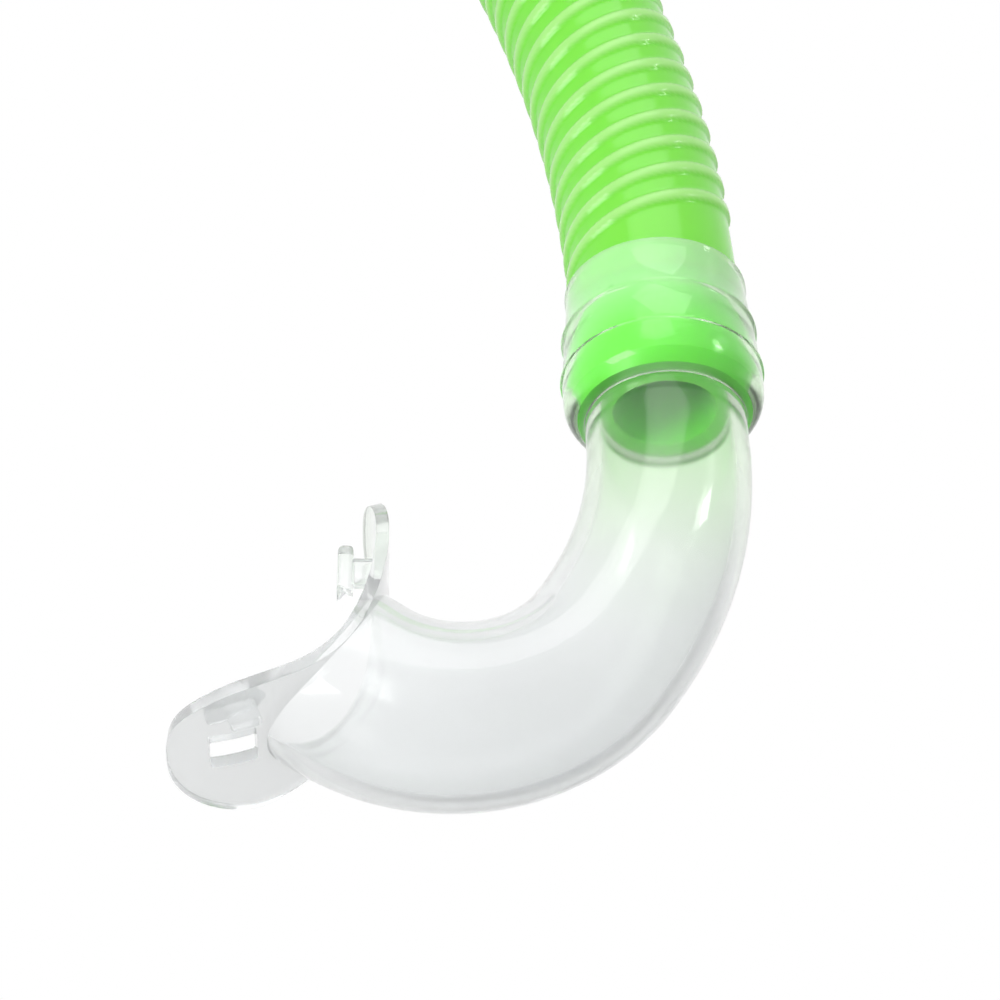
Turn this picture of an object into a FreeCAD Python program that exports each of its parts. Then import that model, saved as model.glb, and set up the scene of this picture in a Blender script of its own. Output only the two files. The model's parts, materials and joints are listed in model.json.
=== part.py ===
import FreeCAD, Part
import math
import os
from FreeCAD import Placement, Rotation, Vector

# A snorkel, upright as a face-down swimmer wears it. Millimetres, +Z up.
# It is built about the barrel's axis (the Z axis), with z = 0 where the hose's top end meets
# the coupler. The last step moves everything so that the origin is the middle of the strap slot.

# ---- air tube ----
TUBE_R = 12.0              # outside of the barrel and of the hose's smooth ends
TUBE_WALL = 2.0
FIT_GAP = 0.05             # radial clearance where one piece runs on another
GLUE_GAP = 0.02            # radial clearance of a bonded joint

# ---- hose ----
HOSE_BEND_R = 225.0
HOSE_LENGTH = 100.0
RIB_HEIGHT = 0.5
RIB_WIDTH = 2.3
RIB_PITCH = 5.1
HOSE_SMOOTH_TOP = 6.0      # plain hose next to the coupler
HOSE_SMOOTH_END = 11.0     # plain hose next to the mouthpiece

# ---- coupler between hose and barrel ----
COUPLER_COLLAR_R = 13.0
COUPLER_COLLAR_HEIGHT = 3.0
COUPLER_BORE_R = 8.2
COUPLER_REACH_UP = 12.0
COUPLER_REACH_DOWN = 8.0
CURVE_RELIEF = 0.22        # a straight spigot in the curved hose is this much smaller

# ---- end sleeve, which the mouthpiece turns on ----
SLEEVE_LENGTH = 17.4
SLEEVE_BORE_R = 7.3
SLEEVE_SPIGOT = 8.0
SLEEVE_BAND_R = 13.1       # wide lower part of the sleeve, which keeps the cuff from slipping off
SLEEVE_CHAMFER = 2.0
SLEEVE_BAND_TALL = 6.3     # from the sleeve's lower end to the start of its taper
SLEEVE_TAPER = 9.0

# ---- mouthpiece: cuff ----
CUFF_SEAT_Z = 4.5          # height of the shoulder under the end sleeve, above the elbow's start
CUFF_FLOOR = 1.3
SEAT_GAP = 0.1
CUFF_HEIGHT = 26.6
CUFF_BAND_R = 14.1
CUFF_RIM_R = 12.95
CUFF_LEAD_IN = 0.3         # the cuff's mouth is opened by this much
CUFF_LEAD_LENGTH = 6.0
CUFF_RINGS = ((10.9, 14.1), (18.0, 13.6))
RING_HEIGHT = 0.25
RING_WIDTH = 0.8

# ---- mouthpiece: elbow ----
ELBOW_RUN = 1.5
ELBOW_R1 = 57.2
ELBOW_TURN_1 = 36.0
ELBOW_R2 = 23.6
ELBOW_TURN = 127.1
ELBOW_START_R = 11.3
ELBOW_END_DEEP_R = 13.25   # half of its width in the plane of the bend, at the mouth
ELBOW_END_SIDE_R = 11.9    # half of its width across that plane
ELBOW_GROWTH = 0.8         # exponent of the growth along the bend
ELBOW_WALL = 2.1
ELBOW_STEP = 12.0          # degrees between sections

# ---- mouthpiece: bite flange and its two lugs ----
FLANGE_R = 26.4
FLANGE_THICK = 1.7
FLANGE_HALF_ARC = 27.1
FLANGE_WAIST = 12.1
FLANGE_LOBE = 16.4
FLANGE_POWER = 2.6
LUG_ARC = 16.2
WINDOW_ARC = 18.3
WINDOW = (6.2, 6.0)        # along the flange, across it
WINDOW_SHIFT = -0.5
LUG_NECK = (4.0, 2.0)
LUG_NECK_SHIFT = -4.6
LUG_GAP = 3.1
LUG_PLATE = (8.7, 4.0)
LUG_PLATE_SHIFT = -3.4
LUG_PLATE_THICK = 2.1

# ---- barrel and keeper ----
BARREL_LENGTH = 202.0
BAND_THICK = 0.3
BAND_HEIGHT = 16.0
BAND_BELOW_TOP = 32.0      # from the barrel's top end to the band's top edge
KEEPER_Z = 120.0
RING_WALL = 2.4
RING_TALL = 22.0
LINER_WALL = 1.0
LINER_LIP = 1.6
LINER_LIP_TALL = 2.0
LINER_PLAY = 0.2
BOSS_REACH = 3.6
BOSS_SIZE = 16.0
PIN_R = 2.5
PIN_HEAD_R = 4.2
PIN_HEAD_TALL = 1.4
CLIP_PLATE = 3.2
CLIP_WIDTH = 30.0
CLIP_WALL = 2.5
CLIP_PLAY = 0.3
STRAP_WIDTH = 26.0
STRAP_SPACE = 4.6
CLIP_ENTRY = 6.0           # gap in the clip's front that the strap slips in through

# ---- dry top ----
SOCKET_DEPTH = 15.0
SOCKET_WALL = 2.2
FLOOR_THICK = 2.0
THROAT_R = 9.2
THROAT_WALL = 1.8
THROAT_HEIGHT = 17.0
HOUSING_R = 23.0
HOUSING_WALL = 1.6
HOUSING_X = HOUSING_R - HOUSING_WALL - THROAT_R - THROAT_WALL - 1.0
SHROUD_HEIGHT = 39.0
SLOT_COUNT = 14
SLOT_WIDTH = 3.8
SLOT_BOTTOM = 4.0
SLOT_HEIGHT = 26.0
CAP_THICK = 2.0
CAP_RISE = 9.0
CAP_PLUG = 4.0
CAP_PLUG_WALL = 1.6
HINGE_X = 13.5
HINGE_ABOVE_SEAT = 5.0
HINGE_PIN_R = 1.25
EAR_THICK = 2.5
EAR_WIDTH = 5.0
EAR_INSIDE = 9.6
KNUCKLE_R = 2.8
KNUCKLE_GAP = 0.3
FLAP_OPEN = 35.0
FLAP_R = 10.9
FLAP_THICK = 1.2
SEAL_R = 10.5
SEAL_THICK = 0.8
SEAL_LIFT = 0.05
FLOAT_R = HOUSING_X + HOUSING_R - HOUSING_WALL - HINGE_X - 3.3
FLOAT_INNER_R = 4.0
FLOAT_START = -88.0        # degrees below level, as the float hangs
FLOAT_SWEEP = 84.0
FLOAT_HALF_WIDTH = 9.0
TONGUE = (10.0, 6.0, 1.6)  # reach, width and thickness
DRAIN = (3.0, 9.0)

X = Vector(1, 0, 0)
Y = Vector(0, 1, 0)
Z = Vector(0, 0, 1)
BORE_R = TUBE_R - TUBE_WALL
HOSE_TURN = math.degrees(HOSE_LENGTH / HOSE_BEND_R)
HOSE_CENTRE = Vector(-HOSE_BEND_R, 0, 0)
LINER_OUT_R = TUBE_R + FIT_GAP + LINER_WALL
RING_IN_R = LINER_OUT_R + FIT_GAP
RING_OUT_R = RING_IN_R + RING_WALL
BOSS_X = -(RING_OUT_R + BOSS_REACH)
CLIP_BACK_X = BOSS_X - CLIP_PLAY
SLOT_BACK_X = CLIP_BACK_X - CLIP_PLATE
SLOT_CENTRE = Vector(SLOT_BACK_X - STRAP_SPACE / 2, 0, KEEPER_Z)
BARREL_TOP = COUPLER_COLLAR_HEIGHT + BARREL_LENGTH
FLOOR_TOP = BARREL_TOP + FLOOR_THICK
SEAT_Z = FLOOR_TOP + THROAT_HEIGHT
HINGE = Vector(HINGE_X, 0, SEAT_Z + HINGE_ABOVE_SEAT)


def cylinder(radius, low, high, x=0.0):
    """Upright cylinder from one height to another."""
    return Part.makeCylinder(radius, high - low, Vector(x, 0, low))


def tube(outer, inner, low, high, x=0.0):
    """Upright tube from one height to another."""
    return cylinder(outer, low, high, x).cut(cylinder(inner, low, high, x))


def block(x_span, y_span, z_span):
    """Box from its low and high ends along X, Y and Z."""
    size = [high - low for low, high in (x_span, y_span, z_span)]
    return Part.makeBox(*size, Vector(x_span[0], y_span[0], z_span[0]))


def centred(length, width, height, middle):
    """Box about a middle point."""
    return Part.makeBox(length, width, height, middle - Vector(length, width, height) * 0.5)


def joined(shapes):
    """One solid from several that touch."""
    first, *others = shapes
    return first.multiFuse(others).removeSplitter()


def turned(shape, centre, axis, degrees):
    """A copy of the shape, turned about an axis."""
    copy = shape.copy()
    copy.rotate(centre, axis, degrees)
    return copy


# ---- the hose and what it joins ----

def hose_ring(outer, inner, start, length):
    """Piece of curved tube, placed by its distance from the hose's top end."""
    face = Part.Face([Part.Wire(Part.makeCircle(outer)), Part.Wire(Part.makeCircle(inner))])
    if not face.isValid():
        face = Part.makeFace([Part.Wire(Part.makeCircle(outer)), Part.Wire(Part.makeCircle(inner))],
                             "Part::FaceMakerBullseye")
    face.rotate(HOSE_CENTRE, Y, math.degrees(start / HOSE_BEND_R))
    return face.revolve(HOSE_CENTRE, Y, math.degrees(length / HOSE_BEND_R))


def make_flex_hose():
    """Soft ribbed hose, bent gently towards the mouth."""
    body = hose_ring(TUBE_R, BORE_R, 0, HOSE_LENGTH)
    ribbed = HOSE_LENGTH - HOSE_SMOOTH_TOP - HOSE_SMOOTH_END - RIB_WIDTH
    count = int(ribbed / RIB_PITCH) + 1
    first = HOSE_LENGTH - HOSE_SMOOTH_END - RIB_WIDTH - (count - 1) * RIB_PITCH
    middle_r = (TUBE_R + BORE_R) / 2
    ribs = [hose_ring(TUBE_R + RIB_HEIGHT, middle_r, first + i * RIB_PITCH, RIB_WIDTH)
            for i in range(count)]
    return joined([body, *ribs])


def make_hose_coupler():
    """Rigid nipple bonded into the hose below and the barrel above, with a collar between."""
    low = cylinder(BORE_R - CURVE_RELIEF, -COUPLER_REACH_DOWN, 0)
    collar = cylinder(COUPLER_COLLAR_R, 0, COUPLER_COLLAR_HEIGHT)
    collar = collar.makeFillet(0.8, [edge for edge in collar.Edges if edge.Closed])
    top = COUPLER_COLLAR_HEIGHT + COUPLER_REACH_UP
    high = cylinder(BORE_R - GLUE_GAP, COUPLER_COLLAR_HEIGHT, top)
    return joined([low, collar, high]).cut(cylinder(COUPLER_BORE_R, -COUPLER_REACH_DOWN, top))


def mouth_end():
    """Placement of the elbow's start: local +Z runs up the hose."""
    bend = math.radians(HOSE_TURN)
    run = CUFF_SEAT_Z + SEAT_GAP + SLEEVE_LENGTH
    end = HOSE_CENTRE + Vector(math.cos(bend), 0, -math.sin(bend)) * HOSE_BEND_R
    start = end - Vector(math.sin(bend), 0, math.cos(bend)) * run
    return Placement(start, Rotation(Y, HOSE_TURN))


def at_mouth_end(shape):
    """Moves a shape from the elbow's own frame to where it belongs."""
    shape.Placement = mouth_end().multiply(shape.Placement)
    return shape


def sleeve_points(low, gap):
    """Outline of the end sleeve's outside, or of the cuff's bore around it."""
    narrow = TUBE_R + gap
    wide = SLEEVE_BAND_R + gap
    return [Vector(wide - SLEEVE_CHAMFER / 2, 0, low),
            Vector(wide, 0, low + SLEEVE_CHAMFER),
            Vector(wide, 0, low + SLEEVE_BAND_TALL),
            Vector(narrow, 0, low + SLEEVE_BAND_TALL + SLEEVE_TAPER)]


def revolved(points):
    """Solid of revolution about Z from a closed outline."""
    return Part.Face(Part.makePolygon([*points, points[0]])).revolve(Vector(0, 0, 0), Z, 360)


def make_end_sleeve():
    """Rigid end of the hose, with a spigot bonded inside it."""
    low = CUFF_SEAT_Z + SEAT_GAP
    high = low + SLEEVE_LENGTH
    spigot_r = BORE_R - CURVE_RELIEF
    sleeve = revolved([Vector(0, 0, low), *sleeve_points(low, 0.0), Vector(TUBE_R, 0, high),
                       Vector(spigot_r, 0, high), Vector(spigot_r, 0, high + SLEEVE_SPIGOT),
                       Vector(0, 0, high + SLEEVE_SPIGOT)])
    return at_mouth_end(sleeve.cut(cylinder(SLEEVE_BORE_R, low - 1, high + SLEEVE_SPIGOT + 1)))


# ---- the mouthpiece, in the elbow's own frame: it starts at the origin and bends towards -X ----

def heading(degrees):
    """Direction of the airway after a turn away from straight down."""
    angle = math.radians(degrees)
    return Vector(-math.sin(angle), 0, -math.cos(angle))


def bend_point(start, radius, turn_from, turn_to):
    """Where an arc of the elbow ends."""
    def spoke(degrees):
        angle = math.radians(degrees)
        return Vector(math.cos(angle), 0, -math.sin(angle))
    return start + (spoke(turn_to) - spoke(turn_from)) * radius


def elbow_stations(lead, tail):
    """Points, turns and directions along the airway, run on by a lead and a tail."""
    stations = [(Z * lead, 0.0), (heading(0) * (ELBOW_RUN / 2), 0.0)]
    point, turn = heading(0) * ELBOW_RUN, 0.0
    stations.append((point, turn))
    for radius, limit in ((ELBOW_R1, ELBOW_TURN_1), (ELBOW_R2, ELBOW_TURN)):
        steps = math.ceil((limit - turn) / ELBOW_STEP)
        step = (limit - turn) / steps
        for _ in range(steps):
            point = bend_point(point, radius, turn, turn + step)
            turn += step
            stations.append((point, turn))
    stations.append((point + heading(turn) * tail, turn))
    return stations


def elbow_end():
    """Middle of the airway where it meets the flange."""
    return elbow_stations(0, 0)[-1][0]


def elbow_solid(lead, tail, wall):
    """Loft through the elbow's oval sections, smaller by a wall all round."""
    wires = []
    for point, turn in elbow_stations(lead, tail):
        growth = (turn / ELBOW_TURN) ** ELBOW_GROWTH
        deep = ELBOW_START_R + (ELBOW_END_DEEP_R - ELBOW_START_R) * growth - wall
        side = ELBOW_START_R + (ELBOW_END_SIDE_R - ELBOW_START_R) * growth - wall
        across = heading(turn).cross(Y)
        oval = Part.Ellipse(point + across * (deep + 0.001), point + Y * side, point)
        wires.append(Part.Wire(oval.toShape()))
    return Part.makeLoft(wires, True, False)


def make_cuff():
    """Stretch-fit socket over the end sleeve, thinner towards its rim."""
    bore = TUBE_R + FIT_GAP
    rim_z = CUFF_HEIGHT
    core_r = ELBOW_START_R / 2
    floor_z = CUFF_SEAT_Z - CUFF_FLOOR
    band_low = CUFF_SEAT_Z + 3.0
    outline = [
        Part.LineSegment(Vector(core_r, 0, floor_z), Vector(ELBOW_START_R - 0.7, 0, floor_z)),
        Part.Arc(Vector(ELBOW_START_R - 0.7, 0, floor_z), Vector(CUFF_BAND_R - 0.8, 0, CUFF_SEAT_Z),
                 Vector(CUFF_BAND_R, 0, band_low)),
        Part.LineSegment(Vector(CUFF_BAND_R, 0, band_low), Vector(CUFF_BAND_R, 0, 10.9)),
        Part.LineSegment(Vector(CUFF_BAND_R, 0, 10.9), Vector(CUFF_RIM_R + 0.6, 0, 18.0)),
        Part.LineSegment(Vector(CUFF_RIM_R + 0.6, 0, 18.0), Vector(CUFF_RIM_R - 0.1, 0, 25.2)),
        Part.Arc(Vector(CUFF_RIM_R - 0.1, 0, 25.2), Vector(CUFF_RIM_R, 0, 26.0),
                 Vector(CUFF_RIM_R - 0.3, 0, rim_z)),
        Part.LineSegment(Vector(CUFF_RIM_R - 0.3, 0, rim_z), Vector(bore + CUFF_LEAD_IN, 0, rim_z)),
        Part.LineSegment(Vector(bore + CUFF_LEAD_IN, 0, rim_z),
                         Vector(bore, 0, rim_z - CUFF_LEAD_LENGTH)),
    ]
    seat = sleeve_points(CUFF_SEAT_Z, FIT_GAP)
    inside = [Vector(bore, 0, rim_z - CUFF_LEAD_LENGTH), *reversed(seat),
              Vector(core_r, 0, CUFF_SEAT_Z), Vector(core_r, 0, floor_z)]
    outline += [Part.LineSegment(start, end) for start, end in zip(inside, inside[1:])]
    wire = Part.Wire([segment.toShape() for segment in outline])
    cuff = Part.Face(wire).revolve(Vector(0, 0, 0), Z, 360)
    rings = [tube(radius + RING_HEIGHT, radius - 0.4, z - RING_WIDTH / 2, z + RING_WIDTH / 2)
             for z, radius in CUFF_RINGS]
    return joined([cuff, *rings])


def flange_frame():
    """Placement at the flange: local +Z looks out of the mouth, +X runs along the flange."""
    outward = heading(ELBOW_TURN) * -1
    along = Y.cross(outward)
    return Placement(FreeCAD.Matrix(along.x, 0, outward.x, elbow_end().x,
                                    along.y, 1, outward.y, elbow_end().y,
                                    along.z, 0, outward.z, elbow_end().z,
                                    0, 0, 0, 1))


def flange_outline():
    """Closed curve of the flange seen square on: two lobes with a waist between."""
    points = []
    for i in range(72):
        angle = 2 * math.pi * i / 72
        cosine, sine = math.cos(angle), math.sin(angle)
        reach = math.copysign(abs(cosine) ** (2 / FLANGE_POWER), cosine)
        rise = math.copysign(abs(sine) ** (2 / FLANGE_POWER), sine)
        spread = 0.5 - 0.5 * math.cos(math.pi * min(1, abs(reach) * 1.3))
        half = FLANGE_WAIST + (FLANGE_LOBE - FLANGE_WAIST) * spread
        bend = reach * FLANGE_HALF_ARC / FLANGE_R
        points.append(Vector(FLANGE_R * math.sin(bend), half * rise, 1.0))
    curve = Part.BSplineCurve()
    curve.interpolate(points, PeriodicFlag=True)
    return Part.Wire(curve.toShape())


def flange_cylinder(radius):
    """Cylinder that the flange is bent around, in the flange's frame."""
    half = FLANGE_LOBE * 2
    return Part.makeCylinder(radius, 2 * half, Vector(0, -half, -FLANGE_R), Y)


def make_flange():
    """Curved plate between lips and teeth, in its own frame."""
    depth = FLANGE_R * (1 - math.cos(FLANGE_HALF_ARC / FLANGE_R)) + FLANGE_THICK + 2.0
    prism = Part.Face(flange_outline()).extrude(Vector(0, 0, -depth))
    shell = flange_cylinder(FLANGE_R).cut(flange_cylinder(FLANGE_R - FLANGE_THICK))
    return shell.common(prism)


def on_flange(shape, arc):
    """Carries a shape from the flange's middle along its curve."""
    return turned(shape, Vector(0, 0, -FLANGE_R), Y, math.degrees(arc / FLANGE_R))


def make_lug():
    """Neck and bite plate, modelled at the flange's middle."""
    back = -FLANGE_THICK
    neck_depth = LUG_GAP + FLANGE_THICK / 2
    neck = centred(*LUG_NECK, neck_depth, Vector(0, LUG_NECK_SHIFT, back - LUG_GAP + neck_depth / 2))
    plate_z = back - LUG_GAP - LUG_PLATE_THICK / 2
    plate = centred(*LUG_PLATE, LUG_PLATE_THICK, Vector(0, LUG_PLATE_SHIFT, plate_z))
    upright = [edge for edge in plate.Edges if abs(edge.tangentAt(edge.FirstParameter).z) > 0.9]
    return neck.fuse(plate.makeFillet(0.9, upright))


def make_mouthpiece():
    """Clear silicone moulding: cuff, elbow, bite flange and its two lugs."""
    frame = flange_frame()
    flange = make_flange()
    lug = make_lug()
    window = centred(*WINDOW, 3 * FLANGE_THICK, Vector(0, WINDOW_SHIFT, 0))
    plate = joined([flange, on_flange(lug, -LUG_ARC), on_flange(lug, LUG_ARC)])
    plate = plate.cut(on_flange(window, -WINDOW_ARC)).cut(on_flange(window, WINDOW_ARC))
    beyond = flange_cylinder(FLANGE_R - FLANGE_THICK / 2)
    plate.Placement = frame
    beyond.Placement = frame.multiply(beyond.Placement)
    elbow = elbow_solid(CUFF_SEAT_Z - CUFF_FLOOR / 2, 6.0, 0.0).cut(beyond)
    body = joined([make_cuff(), elbow, plate])
    airway = elbow_solid(CUFF_SEAT_Z + 0.2, 9.0, ELBOW_WALL)
    return at_mouth_end(body.cut(airway))


# ---- barrel, band and keeper ----

def make_barrel():
    """Rigid upright tube."""
    return tube(TUBE_R, BORE_R, COUPLER_COLLAR_HEIGHT, BARREL_TOP)


def make_signal_band():
    """Bright band near the top, bonded round the barrel."""
    high = BARREL_TOP - BAND_BELOW_TOP
    return tube(TUBE_R + BAND_THICK, TUBE_R, high - BAND_HEIGHT, high)


def make_keeper_liner():
    """Soft sleeve that grips the barrel and carries the keeper's ring between its lips."""
    half = RING_TALL / 2 + LINER_PLAY
    inner = TUBE_R + FIT_GAP
    body = tube(LINER_OUT_R, inner, KEEPER_Z - half, KEEPER_Z + half)
    lips = [tube(LINER_OUT_R + LINER_LIP, inner, *span) for span in (
        (KEEPER_Z + half, KEEPER_Z + half + LINER_LIP_TALL),
        (KEEPER_Z - half - LINER_LIP_TALL, KEEPER_Z - half))]
    return joined([body, *lips])


def pin_hole(radius, start_x, end_x):
    """Cylinder along X on the clip's pivot."""
    return Part.makeCylinder(radius, abs(end_x - start_x), Vector(start_x, 0, KEEPER_Z), X * -1)


def make_keeper_ring():
    """Rigid ring round the liner, with a boss for the pivot pin."""
    half = RING_TALL / 2
    ring = cylinder(RING_OUT_R, KEEPER_Z - half, KEEPER_Z + half)
    boss = block((BOSS_X, 0), (-BOSS_SIZE / 2, BOSS_SIZE / 2),
                 (KEEPER_Z - BOSS_SIZE / 2, KEEPER_Z + BOSS_SIZE / 2))
    inside = cylinder(RING_IN_R, KEEPER_Z - RING_TALL, KEEPER_Z + RING_TALL)
    hole = pin_hole(PIN_R + GLUE_GAP, 0, BOSS_X)
    return joined([ring, boss]).cut(inside).cut(hole)


def make_clip_pin():
    """Headed pin that the strap clip turns on, fast in the ring's boss."""
    head_back = SLOT_BACK_X + PIN_HEAD_TALL
    shaft = pin_hole(PIN_R, -(RING_IN_R + 0.4), head_back)
    return joined([shaft, pin_hole(PIN_HEAD_R, head_back, SLOT_BACK_X)])


def make_strap_clip():
    """Open-fronted loop that the mask strap lies in."""
    width = (-CLIP_WIDTH / 2, CLIP_WIDTH / 2)
    tall = STRAP_WIDTH / 2 + CLIP_WALL
    front_x = SLOT_BACK_X - STRAP_SPACE
    body = block((front_x - CLIP_WALL, CLIP_BACK_X), width, (KEEPER_Z - tall, KEEPER_Z + tall))
    edges = [edge for edge in body.Edges if abs(edge.tangentAt(edge.FirstParameter).x) > 0.9]
    body = body.makeFillet(2.0, edges)
    slot = block((front_x, SLOT_BACK_X), (-CLIP_WIDTH, CLIP_WIDTH),
                 (KEEPER_Z - STRAP_WIDTH / 2, KEEPER_Z + STRAP_WIDTH / 2))
    entry = block((front_x - 2 * CLIP_WALL, front_x + 1), (-CLIP_WIDTH, CLIP_WIDTH),
                  (KEEPER_Z - CLIP_ENTRY / 2, KEEPER_Z + CLIP_ENTRY / 2))
    head_back = SLOT_BACK_X + PIN_HEAD_TALL + FIT_GAP
    recess = pin_hole(PIN_HEAD_R + CLIP_PLAY, head_back, front_x)
    hole = pin_hole(PIN_R + FIT_GAP, 0, front_x)
    return body.cut(slot).cut(entry).cut(recess).cut(hole)


# ---- dry top ----

def make_ears():
    """Two posts that hold the hinge pin."""
    ears = []
    for side in (-1, 1):
        near, far = sorted((side * EAR_INSIDE, side * (EAR_INSIDE + EAR_THICK)))
        ears.append(block((HINGE_X - EAR_WIDTH / 2, HINGE_X + EAR_WIDTH / 2), (near, far),
                          (FLOOR_TOP - FLOOR_THICK / 2, HINGE.z)))
        ears.append(Part.makeCylinder(EAR_WIDTH / 2, EAR_THICK, Vector(HINGE_X, near, HINGE.z), Y))
    return ears


def hinge_rod(radius, half):
    """Cylinder along the flap's hinge."""
    return Part.makeCylinder(radius, 2 * half, HINGE - Y * half, Y)


def make_top_base():
    """Socket on the barrel, housing floor with drains, throat with its valve seat, and ears."""
    socket_r = TUBE_R + GLUE_GAP
    socket = cylinder(socket_r + SOCKET_WALL, BARREL_TOP - SOCKET_DEPTH, FLOOR_TOP)
    floor = cylinder(HOUSING_R, BARREL_TOP, FLOOR_TOP, HOUSING_X)
    throat = cylinder(THROAT_R + THROAT_WALL, FLOOR_TOP, SEAT_Z)
    base = joined([socket, floor, throat, *make_ears()])
    base = base.cut(cylinder(socket_r, BARREL_TOP - SOCKET_DEPTH, BARREL_TOP))
    base = base.cut(cylinder(THROAT_R, BARREL_TOP - 1, SEAT_Z + 1))
    for y in (-1, 0, 1):
        middle = Vector(HINGE_X + EAR_WIDTH + 3.0, y * DRAIN[0] * 2, BARREL_TOP)
        base = base.cut(centred(DRAIN[1] - 3 * abs(y), DRAIN[0], 4 * FLOOR_THICK, middle))
    return base.cut(hinge_rod(HINGE_PIN_R + GLUE_GAP, HOUSING_R))


def opened(shape):
    """Turns a shape from the closed flap to where it hangs open."""
    return turned(shape, HINGE, Y, FLAP_OPEN)


def make_tongue(margin=0.0):
    """Blade of the flap's lever that the float is pressed onto, as it hangs."""
    reach, width, thick = TONGUE
    blade = centred(reach, width, thick, HINGE + X * (reach / 2 + HINGE_PIN_R + 0.6 + margin))
    return turned(blade, HINGE, Y, -(FLOAT_START + FLOAT_SWEEP / 2))


def make_valve_flap():
    """Disc, arm and knuckle of the valve, with the float's lever, hanging open."""
    low = SEAT_Z + SEAL_LIFT + SEAL_THICK
    disc = cylinder(FLAP_R, low, low + FLAP_THICK)
    arm = block((FLAP_R - 5.0, HINGE_X), (-5.0, 5.0), (low, HINGE.z))
    ramp = block((FLAP_R - 6.0, HINGE_X + 6), (-6.0, 6.0), (0, 12.0))
    ramp.translate(Vector(0, 0, low + 2 * FLAP_THICK))
    ramp = turned(ramp, Vector(HINGE_X, 0, HINGE.z), Y, -28)
    knuckle = hinge_rod(KNUCKLE_R, EAR_INSIDE - KNUCKLE_GAP)
    moving = opened(joined([disc, arm.cut(ramp), knuckle]))
    flap = joined([moving, make_tongue()])
    return flap.cut(hinge_rod(HINGE_PIN_R + FIT_GAP, EAR_INSIDE))


def make_flap_seal():
    """Soft disc under the flap, hanging open with it."""
    low = SEAT_Z + SEAL_LIFT
    return opened(cylinder(SEAL_R, low, low + SEAL_THICK))


def make_float():
    """Sealed foam float, a sector about the hinge, pressed on the lever's tongue."""
    start = turned(block((FLOAT_INNER_R, FLOAT_R), (-FLOAT_HALF_WIDTH, FLOAT_HALF_WIDTH),
                         (0, 0.001)), Vector(0, 0, 0), Y, 0)
    face = [face for face in start.Faces if abs(face.normalAt(0, 0).z) > 0.9][0]
    sector = face.revolve(Vector(0, 0, 0), Y, FLOAT_SWEEP)
    sector.rotate(Vector(0, 0, 0), Y, -(FLOAT_START + FLOAT_SWEEP))
    sector.translate(HINGE)
    return sector.cut(make_tongue())


def make_hinge_pin():
    """Steel pin fixed in the ears."""
    return hinge_rod(HINGE_PIN_R, EAR_INSIDE + EAR_THICK)


def make_top_shroud():
    """Slotted wall round the valve, standing on the base's floor."""
    inner = HOUSING_R - HOUSING_WALL
    high = FLOOR_TOP + SHROUD_HEIGHT
    wall = tube(HOUSING_R, inner, FLOOR_TOP, high, HOUSING_X)
    middle = Vector(HOUSING_X, 0, FLOOR_TOP + SLOT_BOTTOM + SLOT_HEIGHT / 2)
    slot = centred(4 * HOUSING_WALL, SLOT_WIDTH, SLOT_HEIGHT, middle + X * HOUSING_R)
    slot = slot.makeFillet(SLOT_WIDTH * 0.49, [
        edge for edge in slot.Edges if abs(edge.tangentAt(edge.FirstParameter).x) > 0.9])
    slots = [turned(slot, middle, Z, 360 * (i + 0.5) / SLOT_COUNT) for i in range(SLOT_COUNT)]
    return wall.cut(Part.makeCompound(slots))


def make_top_cap():
    """Domed lid with a ring that plugs into the shroud."""
    low = FLOOR_TOP + SHROUD_HEIGHT
    dome_r = (HOUSING_R ** 2 + CAP_RISE ** 2) / (2 * CAP_RISE)
    centre = Vector(HOUSING_X, 0, low + CAP_THICK + CAP_RISE - dome_r)
    outside = Part.makeSphere(dome_r, centre).common(
        cylinder(HOUSING_R, low + CAP_THICK, low + 4 * CAP_RISE, HOUSING_X))
    hollow = Part.makeSphere(dome_r - CAP_THICK, centre).common(
        cylinder(HOUSING_R - HOUSING_WALL - CAP_PLUG_WALL, low - 1, low + 4 * CAP_RISE, HOUSING_X))
    skirt = cylinder(HOUSING_R, low, low + CAP_THICK, HOUSING_X)
    plug = cylinder(HOUSING_R - HOUSING_WALL - GLUE_GAP, low - CAP_PLUG, low, HOUSING_X)
    core = cylinder(HOUSING_R - HOUSING_WALL - CAP_PLUG_WALL, low - CAP_PLUG, low + CAP_THICK, HOUSING_X)
    return joined([outside, skirt, plug]).cut(core.fuse(hollow))


NODES = {
    "mouthpiece": make_mouthpiece,
    "end_sleeve": make_end_sleeve,
    "flex_hose": make_flex_hose,
    "hose_coupler": make_hose_coupler,
    "barrel": make_barrel,
    "signal_band": make_signal_band,
    "keeper_liner": make_keeper_liner,
    "keeper_ring": make_keeper_ring,
    "clip_pin": make_clip_pin,
    "strap_clip": make_strap_clip,
    "top_base": make_top_base,
    "hinge_pin": make_hinge_pin,
    "valve_flap": make_valve_flap,
    "flap_seal": make_flap_seal,
    "float_block": make_float,
    "top_shroud": make_top_shroud,
    "top_cap": make_top_cap,
}

os.makedirs("parts", exist_ok=True)
for name, make in NODES.items():
    solid = make()
    solid.translate(SLOT_CENTRE * -1)
    solid.exportStep(f"parts/{name}.step")
    box = solid.BoundBox
    print(f"{name}: {len(solid.Solids)} solid, valid {solid.isValid()}, {solid.Volume:.0f} mm3, "
          f"x {box.XMin:.1f}..{box.XMax:.1f} y {box.YMin:.1f}..{box.YMax:.1f} "
          f"z {box.ZMin:.1f}..{box.ZMax:.1f}")
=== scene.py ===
import json
import logging
import math
from collections.abc import Callable, Sequence
from dataclasses import dataclass, field
from enum import Enum

import bpy
from mathutils import Matrix, Vector

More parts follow.
